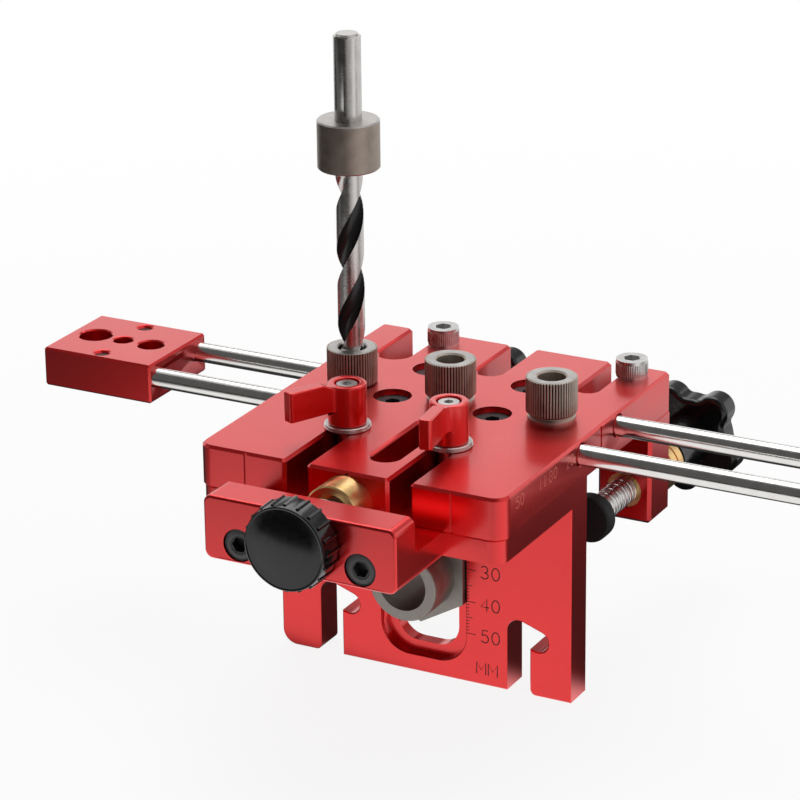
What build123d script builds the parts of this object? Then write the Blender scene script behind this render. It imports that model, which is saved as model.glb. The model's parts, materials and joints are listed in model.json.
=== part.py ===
"""Dowel jig: sliding drill plate over a fence, with rods, clamps, levers and a drill. Millimetres.

X runs along the rods (0 at the plate's middle), Y from front to back (0 at the fence's back face,
where the board's face sits), Z up (0 at the drill plate's underside, where the board's edge sits).
"""

import os
from math import cos, radians, sin

from build123d import *

# overall sizes
plate_width = 95.0
plate_depth = 110.4
plate_thickness = 12.0
bush_offset = 8.0  # board face to the drilling line, at the setting shown
bush_to_front = 62.3  # drilling line to the plate's front edge
hole_pitch = 32.0  # between guide bushes, the furniture hole spacing
half_pitch = hole_pitch / 2
board_thickness = 18.0  # the clamp pads are stored against a board this thick
corner_radius = 4.6
edge_break = 0.8

# clearances
slide_gap = 0.1  # flat faces that slide on each other
shaft_gap = 0.05  # radial, shafts that turn or slide in bores
seat_gap = 0.02  # radial, pieces pressed or screwed together
loose_gap = 0.2  # radial, screws through plain holes

# positions that follow from the sizes
plate_front = bush_offset - bush_to_front
plate_back = plate_front + plate_depth
plate_half = plate_width / 2
plate_top = plate_thickness

# travel of the plate on its base, from the pose shown
plate_forward = 3.0
plate_backward = 12.0

# lever studs and their slots
stud_radius = 3.0
stud_y = -24.3
lever_slot_width = 2 * stud_radius + 0.5
lever_slot_end = stud_y + plate_forward + lever_slot_width / 2 + 0.3

# rods and end block
rod_radius = 3.0
rod_length = 250.0
rod_spacing = 24.4
rod_middle_y = 7.0
rod_rim = 0.65  # countersink around the rods in the plate's sides
rod_z = plate_top - 4.1
rod_ys = [rod_middle_y - rod_spacing / 2, rod_middle_y + rod_spacing / 2]
block_length = 37.0
block_depth = rod_spacing + 2 * rod_radius + 1.6
block_thickness = 12.0
block_gap = 43.2  # end block to the plate's left side
block_right = -plate_half - block_gap
block_left = block_right - block_length
block_top = rod_z + 4.7
rod_left = block_left + 3.5

# guide bushes and drill
drill_radius = 3.95
bush_bore = 4.05
bush_head_radius = 7.4
bush_head_height = 10.8
bush_body_radius = 5.5
bush_ring_height = 1.5
bush_ring_flange = 1.0
bush_ring_radius = 6.9
bush_ring_neck = 6.4
drill_length = 118.2
drill_flutes = 75.0
drill_top = plate_top + 104.2
flute_pitch = 45.2
flute_turn = 22.0  # degrees, the flutes' start at the tip
collar_radius = 9.0
collar_height = 14.4
collar_bottom = plate_top + 64.8
collar_top = collar_bottom + collar_height

# base plate, fence and front bar
base_thickness = 7.0
base_half = plate_half - 0.6
base_top = -slide_gap
base_bottom = base_top - base_thickness
rib_half = 9.0  # guide rib under the plate, in the base plate's slot
rib_length = 12.0
rib_height = 5.5
fence_thickness = 10.0
fence_bottom = -66.9
fence_corner_left = 4.5
fence_corner_right = 2.2
hook_mouth_radius = 1.8
window_half = 10.0
window_bottom = -58.5
window_top = -17.5
recess_half = 13.7
recess_bottom = -61.7
recess_top = -14.3
recess_depth = 3.0
hook_to_edge = 16.5  # hook channel's middle line to the fence's side
hook_x = base_half - hook_to_edge
hook_channel = 7.3
hook_top = -48.1
bar_half = 29.4
bar_reach = 27.1  # plate's front to the bar's front
bar_front = plate_front - bar_reach
bar_wall = 10.9
bar_back = bar_front + bar_wall
bar_top = 10.2
bar_bottom = -8.3
bar_corner = 2.4
bar_screw_x = 18.6
bar_screw_z = -2.9
bar_screw_depth = 14.5  # screwed into the base plate
bar_counterbore = 5.5

# adjusting screw
screw_radius = 3.95
adjust_z = 2.6
knob_radius = 12.4
knob_rib = 0.9
knob_length = 8.4
knob_grip = 5.8  # screw's length inside the knob
nut_radius = 8.3
nut_flange = 9.0
nut_spigot_radius = 5.5
nut_spigot = 6.5
adjust_reach = 7.0  # screw's end past the plate's front
adjust_tip = plate_front + adjust_reach

# cam bush in the fence
cam_z = -34.5
cam_bore = 7.5
cam_barrel_radius = 10.8
cam_barrel = 11.3
cam_flats = 27.0
cam_flange_proud = 1.7

# rear clamps
slot_to_left_clamp = 9.0  # dowel slot's middle line to the clamp's
slot_to_right_clamp = 6.6
clamp_xs = {"left": -hole_pitch + slot_to_left_clamp, "right": hole_pitch + slot_to_right_clamp}
clamp_half = 8.5
clamp_depth = 14.0
clamp_proud = 1.5  # behind the plate's rear edge
clamp_back = plate_back + clamp_proud
clamp_front = clamp_back - clamp_depth
clamp_bottom = -32.0
clamp_z = -22.5
clamp_bolt_y = clamp_front + 4.7
clamp_pin_y = clamp_bolt_y + 5.0
clamp_nut_flange = 11.5
nut_groove = 0.4
pad_radius = 7.0
pad_thickness = 5.0
star_gap = 1.2  # star knob's hub to the brass nut
star_hub = 18.8
star_hub_radius = 8.0
star_radius = 15.1
star_lobe = 2.3
star_lobe_round = 5.1
star_thickness = 8.4

# fasteners
m5_radius = 2.5
cap_head_radius = 4.5
cap_head_height = 5.0
hex_key = 4.0

parts_made = []


def keep(built, name):
    """Names a finished part and writes it."""
    built.part.label = name
    export_step(built.part, f"parts/{name}.step")
    parts_made.append(name)


def at_y(y):
    """Plane facing the front with its origin at y, local x and y being X and Z."""
    return Plane.XZ.offset(-y)


os.makedirs("parts", exist_ok=True)

# drill plate: outline with the lever slots, the tongue's window and three dowel slots
rear_slots = {-hole_pitch: 10.0, 0.0: 8.0, hole_pitch: 6.0}
rear_slot_end = rod_ys[1] + 10.2
finger_wall = plate_half - hole_pitch - max(rear_slots.values()) / 2
rear_chamfer = min(1.0, finger_wall / 5)
slot_chamfer = 0.9
window_x = 4.2
window_width = 8.2
window_front = plate_front + 11.0
window_back = rod_ys[0] - rod_radius - 0.8
with BuildPart() as drill_plate:
    with BuildSketch():
        with Locations((0, plate_front + plate_depth / 2)):
            Rectangle(plate_width, plate_depth)
        front_corners = [v for v in vertices() if v.Y < 0]
        fillet(front_corners, corner_radius)
        for slot_x in (-half_pitch, half_pitch):
            slot_depth = lever_slot_end - plate_front
            with Locations((slot_x, plate_front + slot_depth / 2 - lever_slot_width / 2)):
                Rectangle(lever_slot_width, slot_depth, mode=Mode.SUBTRACT)
            with Locations((slot_x, lever_slot_end - lever_slot_width / 2)):
                Circle(lever_slot_width / 2, mode=Mode.SUBTRACT)
        slot_mouths = [v for v in vertices() if abs(v.Y - plate_front) < 0.01 and abs(v.X) < hole_pitch]
        chamfer(slot_mouths, slot_chamfer)
        for slot_x, slot_width in rear_slots.items():
            slot_start = rear_slot_end + slot_width / 2
            with Locations((slot_x, slot_start)):
                Circle(slot_width / 2, mode=Mode.SUBTRACT)
            with Locations((slot_x, (slot_start + plate_back) / 2)):
                Rectangle(slot_width, plate_back - slot_start, mode=Mode.SUBTRACT)
        rear_corners = [v for v in vertices() if abs(v.Y - plate_back) < 0.01]
        chamfer(rear_corners, rear_chamfer)
        with Locations((window_x, (window_front + window_back) / 2)):
            SlotOverall(window_back - window_front, window_width, rotation=90, mode=Mode.SUBTRACT)
    extrude(amount=plate_thickness)
    chamfer(faces().sort_by(Axis.Z)[-1].edges(), edge_break)
    # guide rib below the tongue, which carries the adjusting nut
    with BuildSketch():
        with Locations((0, plate_front + rib_length / 2)):
            Rectangle(2 * rib_half, rib_length)
    extrude(amount=-rib_height)
    # drill guide bores
    with BuildSketch(Plane.XY.offset(plate_top)):
        with Locations((0, bush_offset)):
            with GridLocations(hole_pitch, 1, 3, 1):
                Circle(bush_body_radius + seat_gap)
    extrude(amount=-plate_thickness, mode=Mode.SUBTRACT)
    # rod bores
    with BuildSketch(Plane.YZ.offset(-plate_half)):
        with Locations((rod_ys[0], rod_z), (rod_ys[1], rod_z)):
            Circle(rod_radius + shaft_gap)
    extrude(amount=plate_width, mode=Mode.SUBTRACT)
    for rod_y in rod_ys:
        rims = [Location((plate_half, rod_y, rod_z), (0, 90, 0)), Location((-plate_half, rod_y, rod_z), (0, -90, 0))]
        with Locations(*rims):
            Cone(
                rod_radius + shaft_gap, rod_radius + rod_rim, rod_rim,
                align=(Align.CENTER, Align.CENTER, Align.MAX), mode=Mode.SUBTRACT,
            )
    # seats of the rod locking screws, open on one side to the rods
    for rod_y in rod_ys:
        with Locations(Location((-half_pitch, rod_y + 7.8, 0)), Location((half_pitch, rod_y + 7.8, 0))):
            with Locations((0, 0, plate_top)):
                Cylinder(5.6, 2.34, align=(Align.CENTER, Align.CENTER, Align.MAX), mode=Mode.SUBTRACT)
            with Locations((0, 0, plate_top - 2.34)):
                Cone(2.6, 5.6, 3.0, align=(Align.CENTER, Align.CENTER, Align.MAX), mode=Mode.SUBTRACT)
            with Locations((0, 0, 1.5)):
                Cylinder(
                    m5_radius + 0.1, 5.5, align=(Align.CENTER, Align.CENTER, Align.MIN), mode=Mode.SUBTRACT
                )
    # adjusting nut's seat, then room for the screw's end
    with BuildSketch(at_y(plate_front)):
        with Locations((0, adjust_z)):
            Circle(nut_spigot_radius + seat_gap)
    extrude(amount=-nut_spigot - 0.1, mode=Mode.SUBTRACT)
    with BuildSketch(at_y(plate_front)):
        with Locations((0, adjust_z)):
            Circle(screw_radius + loose_gap)
    extrude(amount=-adjust_reach - plate_forward - 0.4, mode=Mode.SUBTRACT)
    # clamp bolts and their locating pins
    for clamp_x in clamp_xs.values():
        with Locations((clamp_x, clamp_bolt_y, 0)):
            Cylinder(
                m5_radius + loose_gap, plate_top,
                align=(Align.CENTER, Align.CENTER, Align.MIN), mode=Mode.SUBTRACT,
            )
        with Locations((clamp_x, clamp_pin_y, 0)):
            Cylinder(
                1.5 + seat_gap, 6.1, align=(Align.CENTER, Align.CENTER, Align.MIN), mode=Mode.SUBTRACT
            )
    # index grooves: one below each bush on the front, one at the drilling line on each side
    for groove_x in (-hole_pitch, 0.0, hole_pitch):
        with Locations((groove_x, plate_front, plate_top / 2)):
            Box(0.9, 0.8, plate_top, mode=Mode.SUBTRACT)
    for groove_x in (-plate_half, plate_half):
        with Locations((groove_x, bush_offset, plate_top / 2)):
            Box(0.8, 0.9, plate_top, mode=Mode.SUBTRACT)
keep(drill_plate, "drill_plate")

# base plate: open slot for the adjusting nut, groove for the guide rib, stud holes and screw holes
rib_slot_half = rib_half + slide_gap
nut_slot_back = plate_front + plate_backward + 1.0
rib_slot_back = plate_front + rib_length + plate_backward + 1.0
fence_screw_x = 24.0
fence_screw_y = -fence_thickness / 2
with BuildPart() as base_plate:
    with BuildSketch(Plane.XY.offset(base_bottom)):
        with Locations((0, plate_front / 2)):
            Rectangle(2 * base_half, -plate_front)
        front_corners = [v for v in vertices() if v.Y < -1]
        fillet(front_corners, corner_radius)
        with Locations((0, (plate_front + nut_slot_back) / 2)):
            Rectangle(2 * rib_slot_half, nut_slot_back - plate_front, mode=Mode.SUBTRACT)
    extrude(amount=base_thickness)
    with BuildSketch(Plane.XY.offset(base_top)):
        with Locations((0, (plate_front + rib_slot_back) / 2)):
            Rectangle(2 * rib_slot_half, rib_slot_back - plate_front)
    extrude(amount=-rib_height - slide_gap, mode=Mode.SUBTRACT)
    chamfer(faces().sort_by(Axis.Z)[-1].edges(), 0.4)
    with BuildSketch(Plane.XY.offset(base_bottom)):
        with Locations((-half_pitch, stud_y), (half_pitch, stud_y)):
            Circle(stud_radius + shaft_gap)
    extrude(amount=base_thickness, mode=Mode.SUBTRACT)
    for screw_x in (-fence_screw_x, fence_screw_x):
        with Locations((screw_x, fence_screw_y, base_top)):
            CounterSinkHole(2.2, 4.3, base_thickness, 90)
    with BuildSketch(at_y(plate_front)):
        with Locations((-bar_screw_x, bar_screw_z), (bar_screw_x, bar_screw_z)):
            Circle(m5_radius + seat_gap)
    extrude(amount=-bar_screw_depth - 0.5, mode=Mode.SUBTRACT)
keep(base_plate, "base_plate")

# fence: window with a stepped recess for the cam bush, and two hook slots open at the bottom
with BuildPart() as fence:
    with BuildSketch(at_y(0)):
        with Locations((0, (base_bottom + fence_bottom) / 2)):
            Rectangle(2 * base_half, base_bottom - fence_bottom)
        low_corners = vertices().group_by(Axis.Y)[0].sort_by(Axis.X)
        fillet(low_corners[0], fence_corner_left)
        fillet(low_corners[1], fence_corner_right)
        with Locations((0, (window_top + window_bottom) / 2)):
            RectangleRounded(2 * window_half, window_top - window_bottom, 7.0, mode=Mode.SUBTRACT)
    extrude(amount=fence_thickness)
    for hook in (-hook_x, hook_x):
        with BuildSketch(at_y(0)):
            with Locations((hook, hook_top)):
                Circle(hook_channel / 2)
            with Locations((hook + 6.2, hook_top - 1.7)):
                Circle(3.2)
            make_hull()
        extrude(amount=fence_thickness, mode=Mode.SUBTRACT)
        with BuildSketch(at_y(0)):
            with Locations((hook, (hook_top + fence_bottom) / 2 - 1)):
                Rectangle(hook_channel, hook_top - fence_bottom + 2)
        extrude(amount=fence_thickness, mode=Mode.SUBTRACT)
    for recess_y in (-fence_thickness + recess_depth, 0.0):
        with BuildSketch(at_y(recess_y)):
            with Locations((0, (recess_top + recess_bottom) / 2)):
                RectangleRounded(2 * recess_half, recess_top - recess_bottom, 9.0)
        extrude(amount=recess_depth, mode=Mode.SUBTRACT)
    low_edges = [e for e in edges().filter_by(Axis.Y) if abs(e.center().Z - fence_bottom) < 0.01]
    leg_sides = (-hook_x - hook_channel / 2, hook_x + hook_channel / 2)
    fillet([e for e in low_edges for side in leg_sides if abs(e.center().X - side) < 0.1], hook_mouth_radius)
    chamfer(faces().sort_by(Axis.Y)[0].edges(), 0.35)
    for screw_x in (-fence_screw_x, fence_screw_x):
        with Locations((screw_x, fence_screw_y, base_bottom)):
            Cylinder(
                2.0 + seat_gap, 12.0, align=(Align.CENTER, Align.CENTER, Align.MAX), mode=Mode.SUBTRACT
            )
keep(fence, "fence")

with BuildPart() as fence_screws:
    for screw_x in (-fence_screw_x, fence_screw_x):
        with Locations((screw_x, fence_screw_y, base_top - 0.25)):
            Cone(2.0, 3.9, 1.9, align=(Align.CENTER, Align.CENTER, Align.MAX))
        with Locations((screw_x, fence_screw_y, base_top - 2.1)):
            Cylinder(2.0, 15.0, align=(Align.CENTER, Align.CENTER, Align.MAX))
        with BuildSketch(Plane.XY.offset(base_top - 0.25)):
            with Locations((screw_x, fence_screw_y)):
                RegularPolygon(1.25, 6, major_radius=False)
        extrude(amount=-1.5, mode=Mode.SUBTRACT)
keep(fence_screws, "fence_screws")

# front bar: a wall on two feet, bored for the adjusting screw and counterbored for two screws
with BuildPart() as front_bar:
    with BuildSketch(at_y(bar_back)):
        with Locations((0, (bar_top + bar_bottom) / 2)):
            RectangleRounded(2 * bar_half, bar_top - bar_bottom, bar_corner)
    extrude(amount=bar_wall)
    foot_length = plate_front - bar_back
    with BuildSketch(at_y(plate_front)):
        with Locations((0, (bar_top + bar_bottom) / 2)):
            RectangleRounded(2 * bar_half, bar_top - bar_bottom, bar_corner)
        with Locations((0, bar_top + base_top)):
            Rectangle(3 * bar_half, 2 * bar_top, mode=Mode.SUBTRACT)
        Rectangle(2 * rib_slot_half, 40, mode=Mode.SUBTRACT)
    extrude(amount=foot_length)
    fillet(faces().sort_by(Axis.Y)[0].edges(), 0.8)
    with BuildSketch(at_y(bar_back)):
        with Locations((0, adjust_z)):
            Circle(screw_radius + shaft_gap)
    extrude(amount=bar_wall, mode=Mode.SUBTRACT)
    with BuildSketch(at_y(plate_front)):
        with Locations((-bar_screw_x, bar_screw_z), (bar_screw_x, bar_screw_z)):
            Circle(m5_radius + loose_gap)
    extrude(amount=foot_length + bar_wall, mode=Mode.SUBTRACT)
    with BuildSketch(at_y(bar_front + bar_counterbore)):
        with Locations((-bar_screw_x, bar_screw_z), (bar_screw_x, bar_screw_z)):
            Circle(cap_head_radius + 0.25)
    extrude(amount=bar_counterbore, mode=Mode.SUBTRACT)
keep(front_bar, "front_bar")

with BuildPart() as front_bar_screws:
    with BuildSketch(at_y(bar_front + bar_counterbore)):
        with Locations((-bar_screw_x, bar_screw_z), (bar_screw_x, bar_screw_z)):
            Circle(cap_head_radius)
    extrude(amount=cap_head_height)
    with BuildSketch(at_y(plate_front + bar_screw_depth)):
        with Locations((-bar_screw_x, bar_screw_z), (bar_screw_x, bar_screw_z)):
            Circle(m5_radius)
    extrude(amount=bar_screw_depth + bar_reach - bar_counterbore)
    with BuildSketch(at_y(bar_front + bar_counterbore - cap_head_height + 2.5)):
        with Locations((-bar_screw_x, bar_screw_z), (bar_screw_x, bar_screw_z)):
            RegularPolygon(hex_key / 2, 6, major_radius=False)
    extrude(amount=2.5, mode=Mode.SUBTRACT)
keep(front_bar_screws, "front_bar_screws")

# adjusting screw with its ribbed knob and a collar that holds it in the bar
knob_back = bar_front - 0.3
knob_front = knob_back - knob_length
with BuildPart() as adjust_knob:
    with BuildSketch(at_y(knob_back)):
        with Locations((0, adjust_z)):
            Circle(knob_radius)
    extrude(amount=knob_length)
    fillet(faces().sort_by(Axis.Y)[0].edges(), 1.2)
    with BuildSketch(at_y(knob_back)):
        with Locations((0, adjust_z)):
            with PolarLocations(knob_radius, 20):
                Rectangle(2 * knob_rib, 1.3)
    extrude(amount=knob_length - 1.4)
    with BuildSketch(at_y(knob_back)):
        with Locations((0, adjust_z)):
            Circle(screw_radius + seat_gap)
    extrude(amount=knob_grip + 0.2, mode=Mode.SUBTRACT)
keep(adjust_knob, "adjust_knob")

with BuildPart() as adjust_screw:
    with BuildSketch(at_y(adjust_tip)):
        with Locations((0, adjust_z)):
            Circle(screw_radius)
    extrude(amount=adjust_tip - knob_back + knob_grip)
    chamfer(faces().sort_by(Axis.Y)[-1].edges(), 0.6)
keep(adjust_screw, "adjust_screw")

with BuildPart() as adjust_collar:
    with BuildSketch(at_y(bar_back + 0.2 + 3.2)):
        with Locations((0, adjust_z)):
            Circle(6.2)
            Circle(screw_radius + seat_gap, mode=Mode.SUBTRACT)
    extrude(amount=3.2)
keep(adjust_collar, "adjust_collar")

with BuildPart() as adjust_nut:
    with BuildSketch(at_y(plate_front)):
        with Locations((0, adjust_z)):
            Circle(nut_radius)
    extrude(amount=nut_flange)
    chamfer(faces().sort_by(Axis.Y)[0].edges(), 0.4)
    with BuildSketch(at_y(plate_front + nut_spigot)):
        with Locations((0, adjust_z)):
            Circle(nut_spigot_radius)
    extrude(amount=nut_spigot)
    with BuildSketch(at_y(plate_front + nut_spigot)):
        with Locations((0, adjust_z)):
            Circle(screw_radius + shaft_gap)
    extrude(amount=nut_spigot + nut_flange, mode=Mode.SUBTRACT)
    with BuildSketch(at_y(plate_front - nut_flange + 4.0)):
        with Locations((0, adjust_z)):
            Circle(6.0)
    extrude(amount=4.0, mode=Mode.SUBTRACT)
keep(adjust_nut, "adjust_nut")

# two locking levers: handle, stud, washer and the small screw in the top
lever_angles = {"left": 244.7, "right": 278.4}  # arm direction from +X, in degrees
lever_xs = {"left": -half_pitch, "right": half_pitch}
washer_bottom = plate_top + 0.05
washer_thickness = 1.4
hub_bottom = washer_bottom + washer_thickness
hub_top = plate_top + 13.4
hub_radius = 5.5
arm_reach = 20.6
arm_neck = 1.65  # half widths
arm_tip = 1.9
arm_low = plate_top + 6.0
arm_high = plate_top + 15.0
arm_tip_radius = 1.0
for side, angle in lever_angles.items():
    arm_way = (cos(radians(angle)), sin(radians(angle)), 0)
    foot = (lever_xs[side], stud_y, 0)
    with BuildPart() as lever:
        with BuildSketch(Plane(origin=(foot[0], foot[1], arm_low), x_dir=arm_way, z_dir=(0, 0, 1))):
            with BuildLine():
                Polyline(
                    (0, -arm_neck), (arm_reach, -arm_tip), (arm_reach, arm_tip), (0, arm_neck), close=True
                )
            make_face()
            fillet(vertices().group_by(SortBy.DISTANCE)[-1], arm_tip_radius)
            Circle(hub_radius)
            necks = [v for v in vertices() if v.X < hub_radius + 1]
            fillet(necks, 3.0)
        extrude(amount=arm_high - arm_low)
        side_face = Plane(origin=foot, x_dir=arm_way, z_dir=(sin(radians(angle)), -cos(radians(angle)), 0))
        with BuildSketch(side_face):
            with BuildLine():
                Polyline(
                    (-1, arm_low), (8.0, arm_low), (arm_reach + 1, arm_low + 0.2), (arm_reach + 1, arm_high),
                    (9.0, arm_high - 0.2), (6.0, hub_top), (-1, hub_top), close=True,
                )
            make_face()
        extrude(amount=10, both=True, mode=Mode.INTERSECT)
        with Locations((foot[0], foot[1], hub_bottom)):
            Cylinder(hub_radius, hub_top - hub_bottom, align=(Align.CENTER, Align.CENTER, Align.MIN))
        top_rims = edges().filter_by(GeomType.CIRCLE).group_by(Axis.Z)[-1]
        chamfer(top_rims, 0.3)
        with Locations((foot[0], foot[1], hub_bottom)):
            Cylinder(
                stud_radius + seat_gap, 8.0, align=(Align.CENTER, Align.CENTER, Align.MIN), mode=Mode.SUBTRACT
            )
            Cylinder(
                1.6, hub_top - hub_bottom, align=(Align.CENTER, Align.CENTER, Align.MIN), mode=Mode.SUBTRACT
            )
        with Locations((foot[0], foot[1], hub_top)):
            Cylinder(3.55, 2.4, align=(Align.CENTER, Align.CENTER, Align.MAX), mode=Mode.SUBTRACT)
    keep(lever, f"lever_{side}")

    with BuildPart() as lever_stud:
        with Locations((foot[0], foot[1], base_bottom + 0.1)):
            Cylinder(
                stud_radius, hub_bottom + 7.8 - base_bottom - 0.1,
                align=(Align.CENTER, Align.CENTER, Align.MIN),
            )
        with Locations((foot[0], foot[1], hub_bottom + 7.8)):
            Cylinder(
                1.5 + seat_gap, 4.0, align=(Align.CENTER, Align.CENTER, Align.MAX), mode=Mode.SUBTRACT
            )
    keep(lever_stud, f"lever_stud_{side}")

    with BuildPart() as lever_washer:
        with BuildSketch(Plane.XY.offset(washer_bottom)):
            with Locations((foot[0], foot[1])):
                Circle(6.7)
                Circle(stud_radius + loose_gap, mode=Mode.SUBTRACT)
        extrude(amount=washer_thickness)
        outer_rims = edges().filter_by(GeomType.CIRCLE).filter_by(lambda e: e.radius > 5)
        chamfer(outer_rims, 0.3)
    keep(lever_washer, f"lever_washer_{side}")

    with BuildPart() as lever_screw:
        with Locations((foot[0], foot[1], hub_top - 2.4)):
            Cylinder(2.95, 1.9, align=(Align.CENTER, Align.CENTER, Align.MIN))
            Cylinder(1.5, 5.2, align=(Align.CENTER, Align.CENTER, Align.MAX))
        with BuildSketch(Plane.XY.offset(hub_top - 0.5)):
            with Locations((foot[0], foot[1])):
                RegularPolygon(1.25, 6, major_radius=False)
        extrude(amount=-1.2, mode=Mode.SUBTRACT)
    keep(lever_screw, f"lever_screw_{side}")

# cam bush: barrel, hexagon flange in the recess, and a ring nut behind the fence's web
flange_front = -fence_thickness - cam_flange_proud
flange_back = -fence_thickness + recess_depth - slide_gap
web_back = -recess_depth
with BuildPart() as cam_bush:
    with BuildSketch(at_y(flange_front)):
        with Locations((0, cam_z)):
            Circle(cam_barrel_radius)
    extrude(amount=cam_barrel)
    chamfer(faces().sort_by(Axis.Y)[0].edges(), 0.5)
    with BuildSketch(at_y(flange_back)):
        with Locations((0, cam_z)):
            RegularPolygon(cam_flats / 2, 6, major_radius=False, rotation=30)
    extrude(amount=flange_back - flange_front)
    with BuildSketch(at_y(-0.5)):
        with Locations((0, cam_z)):
            Circle(window_half - 0.2)
    extrude(amount=-0.5 - flange_back)
    with BuildSketch(at_y(0)):
        with Locations((0, cam_z)):
            Circle(cam_bore)
    extrude(amount=40, mode=Mode.SUBTRACT)
keep(cam_bush, "cam_bush")

with BuildPart() as cam_bush_nut:
    with BuildSketch(at_y(-0.4)):
        with Locations((0, cam_z)):
            Circle(recess_half - 0.5)
            Circle(window_half - 0.2 + seat_gap, mode=Mode.SUBTRACT)
    extrude(amount=-0.4 - web_back - slide_gap)
keep(cam_bush_nut, "cam_bush_nut")

# guide bushes: the left one is right down, the other two stand on spacer rings
bush_lifts = {"left": 0.0, "centre": bush_ring_height, "right": bush_ring_height}
bush_xs = {"left": -hole_pitch, "centre": 0.0, "right": hole_pitch}
for side, lift in bush_lifts.items():
    with BuildPart() as guide_bush:
        with Locations((bush_xs[side], bush_offset, plate_top + lift)):
            Cylinder(bush_head_radius, bush_head_height, align=(Align.CENTER, Align.CENTER, Align.MIN))
        chamfer(edges().filter_by(GeomType.CIRCLE), 0.5)
        with Locations((bush_xs[side], bush_offset, plate_top + lift)):
            Cylinder(bush_body_radius, plate_top, align=(Align.CENTER, Align.CENTER, Align.MAX))
        with Locations((bush_xs[side], bush_offset, lift)):
            Cylinder(
                bush_bore, plate_top + bush_head_height,
                align=(Align.CENTER, Align.CENTER, Align.MIN), mode=Mode.SUBTRACT,
            )
    keep(guide_bush, f"guide_bush_{side}")

with BuildPart() as bush_rings:
    with Locations((0, bush_offset, plate_top), (hole_pitch, bush_offset, plate_top)):
        Cylinder(bush_ring_radius, bush_ring_flange, align=(Align.CENTER, Align.CENTER, Align.MIN))
    chamfer(edges().group_by(Axis.Z)[-1], 0.4)
    with Locations((0, bush_offset, plate_top), (hole_pitch, bush_offset, plate_top)):
        Cylinder(bush_ring_neck, bush_ring_height, align=(Align.CENTER, Align.CENTER, Align.MIN))
        Cylinder(
            bush_body_radius + seat_gap, bush_ring_height,
            align=(Align.CENTER, Align.CENTER, Align.MIN), mode=Mode.SUBTRACT,
        )
keep(bush_rings, "bush_rings")

# rod locking screws: their coned heads wedge against the rods
with BuildPart() as rod_lock_screws:
    for rod_y in rod_ys:
        for screw_x in (-half_pitch, half_pitch):
            with Locations((screw_x, rod_y + 7.8, rod_z + 1.9)):
                Cylinder(5.17, 0.5, align=(Align.CENTER, Align.CENTER, Align.MIN))
                Cone(2.5, 5.17, 2.67, align=(Align.CENTER, Align.CENTER, Align.MAX))
            with Locations((screw_x, rod_y + 7.8, 2.0)):
                Cylinder(m5_radius, rod_z - 2.5, align=(Align.CENTER, Align.CENTER, Align.MIN))
            with BuildSketch(Plane.XY.offset(rod_z + 2.4)):
                with Locations((screw_x, rod_y + 7.8)):
                    RegularPolygon(hex_key / 2, 6, major_radius=False)
            extrude(amount=-1.8, mode=Mode.SUBTRACT)
keep(rod_lock_screws, "rod_lock_screws")

# rods and end block with three locating holes
for side, rod_y in zip(("front", "rear"), rod_ys):
    with BuildPart() as rod:
        with BuildSketch(Plane.YZ.offset(rod_left)):
            with Locations((rod_y, rod_z)):
                Circle(rod_radius)
        extrude(amount=rod_length)
        chamfer(edges().filter_by(GeomType.CIRCLE), 0.5)
    keep(rod, f"rod_{side}")

block_middle_x = (block_left + block_right) / 2
block_holes = {block_middle_x - 10.2: 5.0, block_middle_x - 0.5: 3.0, block_middle_x + 9.2: 4.0}
with BuildPart() as end_block:
    with Locations((block_middle_x, rod_middle_y, block_top)):
        Box(block_length, block_depth, block_thickness, align=(Align.CENTER, Align.CENTER, Align.MAX))
    chamfer(edges(), 0.6)
    with BuildSketch(Plane.YZ.offset(rod_left - 0.2)):
        with Locations((rod_ys[0], rod_z), (rod_ys[1], rod_z)):
            Circle(rod_radius + seat_gap)
    extrude(amount=block_length, mode=Mode.SUBTRACT)
    for hole_x, hole_radius in block_holes.items():
        with Locations((hole_x, rod_middle_y, block_top)):
            CounterSinkHole(hole_radius, hole_radius + 0.4, block_thickness, 90)
    for rod_y in rod_ys:
        with Locations((block_middle_x - 0.3, rod_y, block_top)):
            CounterSinkHole(2.02, 2.8, block_top - rod_z, 90)
keep(end_block, "end_block")

with BuildPart() as end_block_set_screws:
    for rod_y in rod_ys:
        with Locations((block_middle_x - 0.3, rod_y, rod_z + rod_radius)):
            Cylinder(2.0, 0.7, align=(Align.CENTER, Align.CENTER, Align.MIN))
keep(end_block_set_screws, "end_block_set_screws")

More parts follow.
